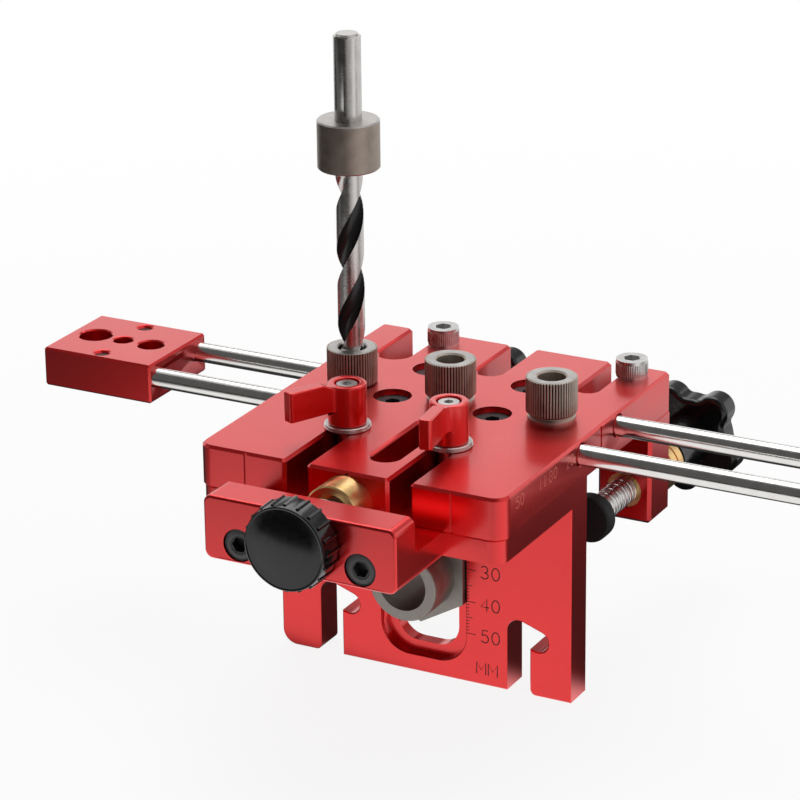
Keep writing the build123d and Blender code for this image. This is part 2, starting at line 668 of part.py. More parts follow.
# rear clamps: block, bolt, pin, brass nut, pad, screw and star knob
for side, clamp_x in clamp_xs.items():
    with BuildPart() as clamp_block:
        with Locations((clamp_x, clamp_front + clamp_depth / 2, 0)):
            Box(2 * clamp_half, clamp_depth, -clamp_bottom, align=(Align.CENTER, Align.CENTER, Align.MAX))
        chamfer(edges(), 1.0)
        with BuildSketch(at_y(clamp_back)):
            with Locations((clamp_x, clamp_z)):
                Circle(nut_spigot_radius + seat_gap)
        extrude(amount=clamp_depth, mode=Mode.SUBTRACT)
        with Locations((clamp_x, clamp_bolt_y, 0)):
            Cylinder(
                m5_radius + seat_gap, 14.0, align=(Align.CENTER, Align.CENTER, Align.MAX), mode=Mode.SUBTRACT
            )
        with Locations((clamp_x, clamp_pin_y, 0)):
            Cylinder(
                1.5 + seat_gap, 8.1, align=(Align.CENTER, Align.CENTER, Align.MAX), mode=Mode.SUBTRACT
            )
    keep(clamp_block, f"clamp_block_{side}")

    with BuildPart() as clamp_nut:
        with BuildSketch(at_y(clamp_back + clamp_nut_flange)):
            with Locations((clamp_x, clamp_z)):
                Circle(nut_radius)
        extrude(amount=clamp_nut_flange)
        chamfer(faces().sort_by(Axis.Y)[-1].edges(), 0.4)
        for share in (1 / 3, 2 / 3):
            with BuildSketch(at_y(clamp_back + share * clamp_nut_flange + nut_groove)):
                with Locations((clamp_x, clamp_z)):
                    Circle(nut_radius + 1)
                    Circle(nut_radius - nut_groove, mode=Mode.SUBTRACT)
            extrude(amount=2 * nut_groove, mode=Mode.SUBTRACT)
        with BuildSketch(at_y(clamp_back)):
            with Locations((clamp_x, clamp_z)):
                Circle(nut_spigot_radius)
        extrude(amount=clamp_depth - 0.5)
        with BuildSketch(at_y(clamp_back + clamp_nut_flange)):
            with Locations((clamp_x, clamp_z)):
                Circle(screw_radius + shaft_gap)
        extrude(amount=clamp_nut_flange + clamp_depth, mode=Mode.SUBTRACT)
    keep(clamp_nut, f"clamp_nut_{side}")

    with BuildPart() as clamp_pad:
        with BuildSketch(at_y(board_thickness + pad_thickness)):
            with Locations((clamp_x, clamp_z)):
                Circle(pad_radius)
        extrude(amount=pad_thickness)
        chamfer(edges().filter_by(GeomType.CIRCLE), 0.6)
        with BuildSketch(at_y(board_thickness + pad_thickness)):
            with Locations((clamp_x, clamp_z)):
                Circle(3.0 + shaft_gap)
        extrude(amount=3.0, mode=Mode.SUBTRACT)
    keep(clamp_pad, f"clamp_pad_{side}")

    hub_front = clamp_back + clamp_nut_flange + star_gap
    star_front = hub_front + star_hub
    with BuildPart() as clamp_screw:
        with BuildSketch(at_y(star_front + 2.0)):
            with Locations((clamp_x, clamp_z)):
                Circle(screw_radius)
        extrude(amount=star_front + 2.0 - board_thickness - pad_thickness - 0.5)
        with BuildSketch(at_y(board_thickness + pad_thickness + 0.5)):
            with Locations((clamp_x, clamp_z)):
                Circle(3.0)
        extrude(amount=3.3)
    keep(clamp_screw, f"clamp_screw_{side}")

    lobe_turn = {"left": 20.0, "right": 50.0}[side]
    with BuildPart() as star_knob:
        with BuildSketch(at_y(star_front + star_thickness)):
            with Locations((clamp_x, clamp_z)):
                Circle(star_radius - star_lobe)
                with PolarLocations(star_radius + star_lobe - star_lobe_round, 5, start_angle=lobe_turn):
                    Circle(star_lobe_round)
            fillet(vertices(), 2.5)
        extrude(amount=star_thickness)
        fillet(edges().group_by(Axis.Y)[0] + edges().group_by(Axis.Y)[-1], 1.5)
        with BuildSketch(at_y(star_front + 1.0)):
            with Locations((clamp_x, clamp_z)):
                Circle(star_hub_radius)
        extrude(amount=star_hub + 1.0)
        with BuildSketch(at_y(star_front + 2.2)):
            with Locations((clamp_x, clamp_z)):
                Circle(screw_radius + seat_gap)
        extrude(amount=star_hub + 4.0, mode=Mode.SUBTRACT)
    keep(star_knob, f"star_knob_{side}")

with BuildPart() as clamp_bolts:
    for clamp_x in clamp_xs.values():
        with Locations((clamp_x, clamp_bolt_y, plate_top)):
            Cylinder(4.6, 5.3, align=(Align.CENTER, Align.CENTER, Align.MIN))
            Cylinder(m5_radius, plate_top + 13.0, align=(Align.CENTER, Align.CENTER, Align.MAX))
        with BuildSketch(Plane.XY.offset(plate_top + 5.3)):
            with Locations((clamp_x, clamp_bolt_y)):
                RegularPolygon(hex_key / 2 + 0.2, 6, major_radius=False)
        extrude(amount=-2.8, mode=Mode.SUBTRACT)
keep(clamp_bolts, "clamp_bolts")

with BuildPart() as clamp_pins:
    for clamp_x in clamp_xs.values():
        with Locations((clamp_x, clamp_pin_y, -8.0)):
            Cylinder(1.5, 14.0, align=(Align.CENTER, Align.CENTER, Align.MIN))
keep(clamp_pins, "clamp_pins")

# drill: shank, then a body with two flutes twisted along it, and a spurred tip
drill_tip = drill_top - drill_length
flute_bottom = drill_tip + 2.5
flute_twist = 360.0 * drill_flutes / flute_pitch
with BuildSketch(Plane.XY.offset(flute_bottom)) as flute_section:
    Circle(drill_radius)
    with PolarLocations(3.9, 2, start_angle=flute_turn):
        Circle(3.1, mode=Mode.SUBTRACT)
flute_face = flute_section.sketch.face()
twisted = Solid.extrude_linear_with_rotation(
    flute_face, (0, 0, flute_bottom), (0, 0, drill_flutes), flute_twist
)
with BuildPart() as drill_bit:
    add(twisted)
    with Locations((0, 0, flute_bottom + drill_flutes - 0.5)):
        Cylinder(
            drill_radius, drill_top - flute_bottom - drill_flutes + 0.5,
            align=(Align.CENTER, Align.CENTER, Align.MIN),
        )
    chamfer(edges().filter_by(GeomType.CIRCLE).sort_by(Axis.Z)[-1], 0.9)
    with Locations((0, 0, flute_bottom + 0.3)):
        Cone(0.2, 1.0, 2.8, align=(Align.CENTER, Align.CENTER, Align.MAX))
drill_bit.part = drill_bit.part.moved(Location((bush_xs["left"], bush_offset, 0)))
keep(drill_bit, "drill_bit")

with BuildPart() as stop_collar:
    with Locations((bush_xs["left"], bush_offset, collar_bottom)):
        Cylinder(collar_radius, collar_height, align=(Align.CENTER, Align.CENTER, Align.MIN))
    chamfer(edges().filter_by(GeomType.CIRCLE), 0.4)
    with Locations((bush_xs["left"], bush_offset, collar_bottom)):
        Cylinder(
            drill_radius + seat_gap, collar_height,
            align=(Align.CENTER, Align.CENTER, Align.MIN), mode=Mode.SUBTRACT,
        )
    with BuildSketch(at_y(bush_offset + collar_radius)):
        with Locations((bush_xs["left"], collar_bottom + collar_height / 2)):
            Circle(2.0 + seat_gap)
    extrude(amount=collar_radius - 2.0, mode=Mode.SUBTRACT)
keep(stop_collar, "stop_collar")

with BuildPart() as collar_set_screw:
    with BuildSketch(at_y(bush_offset + collar_radius - 0.6)):
        with Locations((bush_xs["left"], collar_bottom + collar_height / 2)):
            Circle(2.0)
            RegularPolygon(1.0, 6, major_radius=False, mode=Mode.SUBTRACT)
    extrude(amount=2.0)
    with BuildSketch(at_y(bush_offset + collar_radius - 2.6)):
        with Locations((bush_xs["left"], collar_bottom + collar_height / 2)):
            Circle(2.0)
    extrude(amount=collar_radius - 2.6 - drill_radius - 0.1)
keep(collar_set_screw, "collar_set_screw")

print(len(parts_made), "parts written")
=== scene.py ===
import json
import math

import bmesh
import bpy
from mathutils import Matrix, Vector

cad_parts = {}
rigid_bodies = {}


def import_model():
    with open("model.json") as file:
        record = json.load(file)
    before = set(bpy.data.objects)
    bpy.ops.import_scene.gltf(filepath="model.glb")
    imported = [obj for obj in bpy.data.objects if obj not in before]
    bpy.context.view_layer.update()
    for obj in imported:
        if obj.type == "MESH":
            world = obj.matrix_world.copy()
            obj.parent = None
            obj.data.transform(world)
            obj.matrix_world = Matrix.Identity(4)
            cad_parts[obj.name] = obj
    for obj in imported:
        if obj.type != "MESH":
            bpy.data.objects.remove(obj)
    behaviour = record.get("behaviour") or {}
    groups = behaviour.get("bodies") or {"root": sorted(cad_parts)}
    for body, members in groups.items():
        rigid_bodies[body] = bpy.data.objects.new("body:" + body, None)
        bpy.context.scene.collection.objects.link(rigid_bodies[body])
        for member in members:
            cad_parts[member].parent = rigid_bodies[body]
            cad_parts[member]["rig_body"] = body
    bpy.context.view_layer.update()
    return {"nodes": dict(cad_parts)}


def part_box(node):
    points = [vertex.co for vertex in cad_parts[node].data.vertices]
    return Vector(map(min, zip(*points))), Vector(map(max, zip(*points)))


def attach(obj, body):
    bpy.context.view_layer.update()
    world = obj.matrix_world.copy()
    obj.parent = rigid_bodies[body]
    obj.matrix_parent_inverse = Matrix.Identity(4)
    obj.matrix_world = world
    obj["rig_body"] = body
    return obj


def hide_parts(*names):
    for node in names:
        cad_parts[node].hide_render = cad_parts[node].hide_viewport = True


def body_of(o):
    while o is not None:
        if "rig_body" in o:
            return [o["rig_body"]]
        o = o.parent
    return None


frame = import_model()
nodes = frame["nodes"]
mm = 0.001
print("frame loaded:", len(nodes), "nodes")


# colour and node helpers

def hexColour(code):
    channels = [int(code[i:i + 2], 16) / 255 for i in (1, 3, 5)]
    return [c / 12.92 if c <= 0.04045 else ((c + 0.055) / 1.055) ** 2.4 for c in channels] + [1.0]


def addNode(tree, kind, inputs=None, **settings):
    # an input is a plain value, a socket, or a node, which gives its first live output
    node = tree.nodes.new(kind)
    for name, value in settings.items():
        setattr(node, name, value)
    for key, value in (inputs or {}).items():
        if isinstance(value, bpy.types.Node):
            value = next(socket for socket in value.outputs if socket.enabled)
        if isinstance(value, bpy.types.NodeSocket):
            tree.links.new(value, node.inputs[key])
        else:
            node.inputs[key].default_value = value
    return node


def startMaterial(name):
    material = bpy.data.materials.new(name)
    material.use_nodes = True
    tree = material.node_tree
    tree.nodes.clear()
    return material, tree, addNode(tree, "ShaderNodeTexCoord").outputs["Object"]


# materials, each named for what the real one is, with their grains and reliefs in mm

noiseMiddle = {"From Min": 0.3, "From Max": 0.7}  # where most of a noise's values lie
redFinish = {"grain": 0.35, "cloud": 14.0, "cloudDetail": 3.0, "darkest": 0.25, "lightest": 0.75,
             "relief": 0.05, "smoother": 0.5, "rougher": 0.6, "skinRough": 0.17, "skinIor": 1.6}
turnedFinish = {"stain": 3.5, "stainDetail": 4.0, "relief": 0.04, "smoother": 0.04, "rougher": 0.06}
plainFinish = {"relief": 0.05, "smoother": 0.03, "rougher": 0.05, "ior": 1.47}


def sealedRed(name, dark, light, rough, coat, metal=1.0, grit=0.06):
    # red under a clear skin that whitens towards the lights
    material, tree, where = startMaterial(name)
    # the real grain is about 0.1 mm, drawn coarser to show
    blast = addNode(tree, "ShaderNodeTexNoise", {"Vector": where, "Scale": 1 / (redFinish["grain"] * mm)})
    cloud = addNode(tree, "ShaderNodeTexNoise", {
        "Vector": where, "Scale": 1 / (redFinish["cloud"] * mm), "Detail": redFinish["cloudDetail"]})
    share = addNode(tree, "ShaderNodeMapRange", {
        "Value": cloud, **noiseMiddle, "To Min": redFinish["darkest"], "To Max": redFinish["lightest"]})
    # inputs 6 and 7 of the mix node are its two colours
    colour = addNode(tree, "ShaderNodeMix", {
        0: share, 6: hexColour(dark), 7: hexColour(light)}, data_type="RGBA")
    uneven = addNode(tree, "ShaderNodeBump", {
        "Height": blast, "Strength": grit, "Distance": redFinish["relief"] * mm})
    gloss = addNode(tree, "ShaderNodeMapRange", {
        "Value": blast, **noiseMiddle, "To Min": rough - grit * redFinish["smoother"],
        "To Max": rough + grit * redFinish["rougher"]})
    shader = addNode(tree, "ShaderNodeBsdfPrincipled", {
        "Base Color": colour, "Metallic": metal, "Roughness": gloss, "Normal": uneven, "Coat Weight": coat,
        "Coat Roughness": redFinish["skinRough"], "Coat IOR": redFinish["skinIor"]})
    addNode(tree, "ShaderNodeOutputMaterial", {"Surface": shader})
    return material


def turnedMetal(name, dark, light, rough, mark, bump):
    # bare metal with faint stains, an uneven gloss and fine tool marks, drawn coarser than real ones to show
    material, tree, where = startMaterial(name)
    marks = addNode(tree, "ShaderNodeTexNoise", {"Vector": where, "Scale": 1 / (mark * mm)})
    stain = addNode(tree, "ShaderNodeTexNoise", {
        "Vector": where, "Scale": 1 / (turnedFinish["stain"] * mm), "Detail": turnedFinish["stainDetail"]})
    share = addNode(tree, "ShaderNodeMapRange", {"Value": stain, **noiseMiddle})
    colour = addNode(tree, "ShaderNodeMix", {
        0: share, 6: hexColour(dark), 7: hexColour(light)}, data_type="RGBA")
    uneven = addNode(tree, "ShaderNodeBump", {
        "Height": marks, "Strength": bump, "Distance": turnedFinish["relief"] * mm})
    gloss = addNode(tree, "ShaderNodeMapRange", {
        "Value": stain, **noiseMiddle, "To Min": rough - turnedFinish["smoother"],
        "To Max": rough + turnedFinish["rougher"]})
    shader = addNode(tree, "ShaderNodeBsdfPrincipled", {
        "Base Color": colour, "Metallic": 1.0, "Roughness": gloss, "Normal": uneven})
    addNode(tree, "ShaderNodeOutputMaterial", {"Surface": shader})
    return material


def plainDark(name, colour, rough, grain, bump):
    # one dark colour with a faintly uneven surface, as on mouldings, oxide and paint
    material, tree, where = startMaterial(name)
    skin = addNode(tree, "ShaderNodeTexNoise", {"Vector": where, "Scale": 1 / (grain * mm)})
    uneven = addNode(tree, "ShaderNodeBump", {
        "Height": skin, "Strength": bump, "Distance": plainFinish["relief"] * mm})
    gloss = addNode(tree, "ShaderNodeMapRange", {
        "Value": skin, **noiseMiddle, "To Min": rough - plainFinish["smoother"],
        "To Max": rough + plainFinish["rougher"]})
    shader = addNode(tree, "ShaderNodeBsdfPrincipled", {
        "Base Color": hexColour(colour), "Roughness": gloss, "Normal": uneven, "IOR": plainFinish["ior"]})
    addNode(tree, "ShaderNodeOutputMaterial", {"Surface": shader})
    return material


# bead-blasted and anodised: a satin red with a wide soft gloss
redPlate = sealedRed("redAnodisedAluminium", "#D81417", "#E01A1C", rough=0.36, coat=0.74)
# die-cast and lacquered: smoother and brighter than the plates
redLever = sealedRed("redLacqueredZinc", "#E2100D", "#EC1813", rough=0.26, coat=0.5, metal=0.45, grit=0.012)
# engraved: dark on the fence, pale digits and faint ticks on the plate's side
engraved = plainDark("engravedLines", "#4A0709", rough=0.6, grain=0.4, bump=0.1)
brightEngraved = sealedRed("brightEngravedLines", "#F07468", "#F58A7C", rough=0.4, coat=0.4, metal=0.2)
faintEngraved = sealedRed("faintEngravedLines", "#B81E1C", "#C42824", rough=0.4, coat=0.4, metal=0.4)
# tempered tool steel: warm and matt round the side, a darker copy of it as painted shade between the ridges,
# ground paler on top
toolSteel = turnedMetal("temperedToolSteel", "#B4A89D", "#C8BCB1", rough=0.46, mark=0.25, bump=0.15)
# painted shade: the dark that falls in the knurl's grooves, drawn as a darker steel
knurlGrooveShade = turnedMetal("paintedShadeKnurlGroove", "#3E3630", "#4C433C", rough=0.6, mark=0.25, bump=0.15)
toolSteelTop = turnedMetal("groundToolSteel", "#B0ACA9", "#BDB9B6", rough=0.34, mark=0.25, bump=0.1)
# black oxide: dark grey with a dull shine, and a paler grey of it
collarSteel = turnedMetal("blackenedCollarSteel", "#93877D", "#A69A90", rough=0.44, mark=0.25, bump=0.15)
# plain turned steel: matt and grey
mattSteel = turnedMetal("mattGreySteel", "#86807B", "#98928C", rough=0.5, mark=0.4, bump=0.2)
# zinc plate: pale with a soft shine
zincSteel = turnedMetal("zincPlatedSteel", "#C8C7C5", "#DCDBD9", rough=0.3, mark=0.5, bump=0.08)
# hard chrome, ground and polished: it mirrors the room
chrome = turnedMetal("hardChromedRod", "#D6D4D1", "#E0DEDB", rough=0.17, mark=0.8, bump=0.01)
# turned brass: pale gold with a soft shine
brass = turnedMetal("turnedBrass", "#E6BA78", "#F0CC92", rough=0.3, mark=0.3, bump=0.06)
# black oxide: dark grey with a dull shine, paler where it is worn
blackSteel = plainDark("blackOxideSteel", "#2A2A2B", rough=0.4, grain=0.4, bump=0.15)
paleBlackSteel = plainDark("paleBlackOxideSteel", "#5A595A", rough=0.45, grain=0.4, bump=0.2)
# high-speed steel: bright where it is ground, black in the flutes
drillBright = turnedMetal("groundHighSpeedSteel", "#BFBBB8", "#CDCAC7", rough=0.25, mark=0.3, bump=0.05)
drillBlack = plainDark("blackenedFlute", "#211F20", rough=0.3, grain=0.4, bump=0.08)
# moulded nylon: black with a wet gloss
blackPlastic = plainDark("glossyBlackNylon", "#0B0B0C", rough=0.16, grain=1.2, bump=0.05)
# moulded rubber: black and dull
rubber = plainDark("blackRubber", "#141414", rough=0.7, grain=0.5, bump=0.3)
print("materials made")

looks = {
    redPlate: ["drill_plate", "base_plate", "fence", "front_bar", "end_block", "clamp_block_left",
               "clamp_block_right"],
    redLever: ["lever_left", "lever_right"],
    brass: ["adjust_nut", "clamp_nut_left", "clamp_nut_right"],
    zincSteel: ["lever_stud_left", "lever_stud_right", "lever_screw_left", "lever_screw_right", "clamp_bolts",
                "clamp_pins", "clamp_screw_left", "clamp_screw_right", "adjust_screw", "adjust_collar"],
    blackPlastic: ["star_knob_left", "star_knob_right"],
    rubber: ["clamp_pad_left", "clamp_pad_right"],
    blackSteel: ["front_bar_screws", "fence_screws", "rod_lock_screws", "end_block_set_screws",
                 "collar_set_screw"],
    toolSteel: ["bush_rings"],
    collarSteel: ["stop_collar"],
    mattSteel: ["cam_bush", "cam_bush_nut"],
    chrome: ["rod_front", "rod_rear"],
    drillBright: ["drill_bit"],
}


# piece helpers

sharpFrom = {"turned": 25, "grown": 40, "copied": 30}  # degrees between faces
right = (1, 0, 0)
front = (0, -1, 0)
back = (0, 1, 0)
up = (0, 0, 1)


def linkNew(name, data):
    made = bpy.data.objects.new(name, data)
    bpy.context.scene.collection.objects.link(made)
    return made


def settlePiece(piece, body, stands=None):
    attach(piece, body)
    if stands:
        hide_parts(stands)
    return piece


def placePiece(name, mesh, body, material=None, stands=None):
    if material:
        mesh.materials.append(material)
    settlePiece(linkNew(name, mesh), body, stands)


def frozenMesh(piece):
    # the piece's mesh with its modifiers applied
    bpy.context.view_layer.update()
    return bpy.data.meshes.new_from_object(piece.evaluated_get(bpy.context.evaluated_depsgraph_get()))


def smoothFaces(mesh, kind):
    mesh.shade_smooth()
    mesh.set_sharp_from_angle(angle=math.radians(sharpFrom[kind]))


def along(place, direction):
    # a frame at place in mm whose z runs along direction
    turn = Vector(direction).to_track_quat("Z", "Y").to_matrix().to_4x4()
    return Matrix.Translation(Vector(place) * mm) @ turn


def latheMesh(name, profile, place, steps=96):
    # profile: (radius, height) in mm, up the outside and then down the bore, where there is one
    mesh = bpy.data.meshes.new(name)
    shape = bmesh.new()
    rings = []
    for radius, height in profile:
        if radius == 0:
            rings.append([shape.verts.new((0, 0, height * mm))] * steps)
            continue
        turns = [2 * math.pi * i / steps for i in range(steps)]
        rings.append([shape.verts.new((radius * mm * math.cos(t), radius * mm * math.sin(t), height * mm))
                      for t in turns])
    pairs = list(zip(rings, rings[1:]))
    if profile[0][0] and profile[-1][0]:
        pairs.append((rings[-1], rings[0]))
    for low, high in pairs:
        for i in range(steps):
            k = (i + 1) % steps
            corners = []
            for vert in (low[i], low[k], high[k], high[i]):
                if vert not in corners:
                    corners.append(vert)
            shape.faces.new(corners)
    bmesh.ops.recalc_face_normals(shape, faces=shape.faces)
    shape.to_mesh(mesh)
    shape.free()
    mesh.transform(place)
    smoothFaces(mesh, "turned")
    return mesh


def startTree(name, sizes):
    tree = bpy.data.node_groups.new(name, "GeometryNodeTree")
    tree.interface.new_socket("Geometry", in_out="OUTPUT", socket_type="NodeSocketGeometry")
    for label, kind in {**sizes, "Material": "Material"}.items():
        tree.interface.new_socket(label, in_out="INPUT", socket_type="NodeSocket" + kind)
    return tree, addNode(tree, "NodeGroupInput").outputs


def endTree(tree, geometry, given):
    whole = addNode(tree, "GeometryNodeRealizeInstances", {"Geometry": geometry})
    dressed = addNode(tree, "GeometryNodeSetMaterial", {"Geometry": whole, "Material": given["Material"]})
    addNode(tree, "NodeGroupOutput", {"Geometry": dressed})


def growPiece(name, tree, values, place, body):
    # evaluates a node tree once and keeps the result as a plain mesh
    piece = linkNew(name, bpy.data.meshes.new(name + "Seed"))
    modifier = piece.modifiers.new("grow", "NODES")
    modifier.node_group = tree
    for item in tree.interface.items_tree:
        if item.in_out == "INPUT":
            modifier[item.identifier] = values[item.name]
    mesh = frozenMesh(piece)
    piece.modifiers.remove(modifier)
    mesh.transform(place)
    smoothFaces(mesh, "grown")
    piece.data = mesh
    settlePiece(piece, body)


# every node in looks gets a merged copy with smooth curved faces and its finish; levers also get soft edges

copying = {"merge": 0.001, "flat": 0.3, "leverEdge": 0.35, "edgeSegments": 3}  # flat is in degrees


def smoothCopy(node, material, edge):
    mesh = nodes[node].data.copy()
    shape = bmesh.new()
    shape.from_mesh(mesh)
    bmesh.ops.remove_doubles(shape, verts=shape.verts, dist=copying["merge"] * mm)
    bmesh.ops.dissolve_limit(shape, angle_limit=math.radians(copying["flat"]), verts=shape.verts,
                             edges=shape.edges)
    shape.to_mesh(mesh)
    shape.free()
    mesh.materials.clear()
    mesh.materials.append(material)
    smoothFaces(mesh, "copied")
    piece = linkNew(node + "Smooth", mesh)
    if edge:
        bevel = piece.modifiers.new("edge", "BEVEL")
        bevel.width = edge * mm
        bevel.segments = copying["edgeSegments"]
        bevel.limit_method = "ANGLE"
        bevel.angle_limit = math.radians(sharpFrom["copied"])
        bevel.use_clamp_overlap = False
    weigh = piece.modifiers.new("weigh", "WEIGHTED_NORMAL")
    weigh.keep_sharp = True
    smooth = frozenMesh(piece)
    piece.modifiers.clear()
    piece.data = smooth
    return settlePiece(piece, body_of(nodes[node])[0], node)


smoothPieces = {}
for material, names in looks.items():
    edge = copying["leverEdge"] if material == redLever else 0.0
    for name in names:
        smoothPieces[name] = smoothCopy(name, material, edge)
print("smooth copies made:", len(smoothPieces))


# node trees for what repeats: ribs round a knob or knurl, scale ticks, screw threads

facets = {"rib": 8, "helix": 28, "thread": 6}

ribTree, given = startTree("ribRing", {
    "Count": "Int", "Radius": "Float", "Rib Radius": "Float", "Length": "Float", "Tilt": "Float"})
circle = addNode(ribTree, "GeometryNodeMeshCircle", {"Vertices": given["Count"], "Radius": given["Radius"]})
rib = addNode(ribTree, "GeometryNodeMeshCylinder", {
    "Vertices": facets["rib"], "Radius": given["Rib Radius"], "Depth": given["Length"]})
outward = addNode(ribTree, "FunctionNodeAlignRotationToVector", {
    "Vector": addNode(ribTree, "GeometryNodeInputPosition")}, axis="X")
ring = addNode(ribTree, "GeometryNodeInstanceOnPoints", {
    "Points": circle, "Instance": rib, "Rotation": outward})
lean = addNode(ribTree, "ShaderNodeCombineXYZ", {"Y": given["Tilt"]})
tilted = addNode(ribTree, "GeometryNodeRotateInstances", {
    "Instances": ring, "Rotation": lean, "Local Space": True})
endTree(ribTree, tilted, given)

tickTree, given = startTree("scaleTicks", {
    "Count": "Int", "Spacing": "Float", "Line": "Float", "Relief": "Float", "Short": "Float",
    "Middle": "Float", "Long": "Float"})
step = addNode(tickTree, "ShaderNodeCombineXYZ", {"Y": given["Spacing"]})
row = addNode(tickTree, "GeometryNodeMeshLine", {"Count": given["Count"], "Offset": step})
index = addNode(tickTree, "GeometryNodeInputIndex")


def everyNth(count):
    # true at the ticks whose number divides by count
    rest = addNode(tickTree, "ShaderNodeMath", {0: index, 1: count}, operation="MODULO")
    return addNode(tickTree, "ShaderNodeMath", {0: rest, 1: 0.5}, operation="LESS_THAN")


fives = addNode(tickTree, "GeometryNodeSwitch", {
    "Switch": everyNth(5), "False": given["Short"], "True": given["Middle"]}, input_type="FLOAT")
tens = addNode(tickTree, "GeometryNodeSwitch", {
    "Switch": everyNth(10), "False": fives, "True": given["Long"]}, input_type="FLOAT")
# a tick is a bar one metre long from its start, scaled to its own length
line = addNode(tickTree, "ShaderNodeCombineXYZ", {"X": 1.0, "Y": given["Line"], "Z": given["Relief"]})
bar = addNode(tickTree, "GeometryNodeMeshCube", {"Size": line})
start = addNode(tickTree, "GeometryNodeTransform", {"Geometry": bar, "Translation": (0.5, 0, 0)})
reach = addNode(tickTree, "ShaderNodeCombineXYZ", {"X": tens, "Y": 1.0, "Z": 1.0})
ticks = addNode(tickTree, "GeometryNodeInstanceOnPoints", {"Points": row, "Instance": start, "Scale": reach})
endTree(tickTree, ticks, given)

threadTree, given = startTree("screwThread", {
    "Radius": "Float", "Pitch": "Float", "Turns": "Float", "Ridge": "Float"})
rise = addNode(threadTree, "ShaderNodeMath", {0: given["Pitch"], 1: given["Turns"]}, operation="MULTIPLY")
helix = addNode(threadTree, "GeometryNodeCurveSpiral", {
    "Resolution": facets["helix"], "Rotations": given["Turns"], "Start Radius": given["Radius"],
    "End Radius": given["Radius"], "Height": rise})
ridge = addNode(threadTree, "GeometryNodeCurvePrimitiveCircle", {
    "Resolution": facets["thread"], "Radius": given["Ridge"]})
thread = addNode(threadTree, "GeometryNodeCurveToMesh", {
    "Curve": helix, "Profile Curve": ridge, "Fill Caps": True})
endTree(threadTree, thread, given)
print("node trees made")


# guide bushes: turned body, head with straight ridges over painted shade in the grooves, and a ground top

bush = {"bore": 4.05, "mouth": 0.5, "body": 5.5, "head": 6.95, "tall": 10.8, "foot": 0.2, "footTall": 0.4,
        "chamfer": 0.2, "groundBelow": 0.05, "grooveDepth": 0.3, "ridges": 54, "ridge": 0.28, "ridgeAt": 7.1,
        "ridgeShort": 0.6, "ridgeDown": 0.12}
for side in ("left", "centre", "right"):
    node = "guide_bush_" + side
    low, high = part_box(node)
    centre = (low + high) / 2 / mm
    top = (high.z - low.z) / mm
    neck = top - bush["tall"]
    mesh = latheMesh(node + "Body", [
        (bush["bore"], 0), (bush["body"], 0), (bush["body"], neck), (bush["head"] - bush["foot"], neck),
        (bush["head"], neck + bush["footTall"]), (bush["head"], top - bush["chamfer"]),
        (bush["head"] - bush["chamfer"], top), (bush["bore"] + bush["mouth"], top),
        (bush["bore"], top - bush["mouth"])], along((centre.x, centre.y, low.z / mm), up))
    for material in (toolSteel, toolSteelTop, knurlGrooveShade):
        mesh.materials.append(material)
    # ground steel on the top face, and painted shade on the head's side between the ridges
    for face in mesh.polygons:
        out = math.hypot(face.center.x / mm - centre.x, face.center.y / mm - centre.y)
        if face.center.z > high.z - (bush["chamfer"] + bush["groundBelow"]) * mm:
            face.material_index = 1
        elif out > bush["head"] - bush["grooveDepth"]:
            face.material_index = 2
    placePiece(node + "Body", mesh, "plate", stands=node)
    knurl = bush["tall"] - bush["ridgeShort"]
    middle = high.z / mm - knurl / 2 - bush["ridgeDown"]
    growPiece(node + "Knurl", ribTree, {
        "Count": bush["ridges"], "Radius": bush["ridgeAt"] * mm, "Rib Radius": bush["ridge"] * mm,
        "Length": knurl * mm, "Tilt": 0.0, "Material": toolSteel},
        along((centre.x, centre.y, middle), up), "plate")
print("bushes done")


# lever washers: a flat steel washer with a groove turned in its rim, at these shares of its thickness

washer = {"bore": 3.2, "rim": 6.7, "upperStep": 0.15, "edge": 0.25, "edgeTall": 0.2, "groove": 0.35,
          "grooveFrom": 0.38, "floorFrom": 0.46, "floorTo": 0.54, "grooveTo": 0.62}
for side in ("left", "right"):
    node = "lever_washer_" + side
    low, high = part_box(node)
    centre = (low + high) / 2 / mm
    thick = (high.z - low.z) / mm
    rim = washer["rim"]
    grooved = rim - washer["groove"]
    upper = rim - washer["upperStep"]
    mesh = latheMesh(node + "Turned", [
        (washer["bore"], 0), (rim - washer["edge"], 0), (rim, washer["edgeTall"]),
        (rim, thick * washer["grooveFrom"]), (grooved, thick * washer["floorFrom"]),
        (grooved, thick * washer["floorTo"]), (upper, thick * washer["grooveTo"]),
        (upper, thick - washer["edgeTall"]), (upper - washer["edge"], thick), (washer["bore"], thick)],
        along((centre.x, centre.y, low.z / mm), up))
    placePiece(node + "Turned", mesh, side + "_lever", zincSteel, stands=node)


# adjusting knob: a tapered moulding with a raised rim, a domed face and ribs round it

knob = {"back": 12.4, "backEdge": 0.5, "front": 12.2, "dome": 0.9, "domeInset": 1.3, "domeSteps": 9,
        "steps": 128, "ribs": 20, "ribAt": 12.25, "rib": 0.55, "ribShort": 2.0, "ribBack": 0.8, "taper": 0.02}
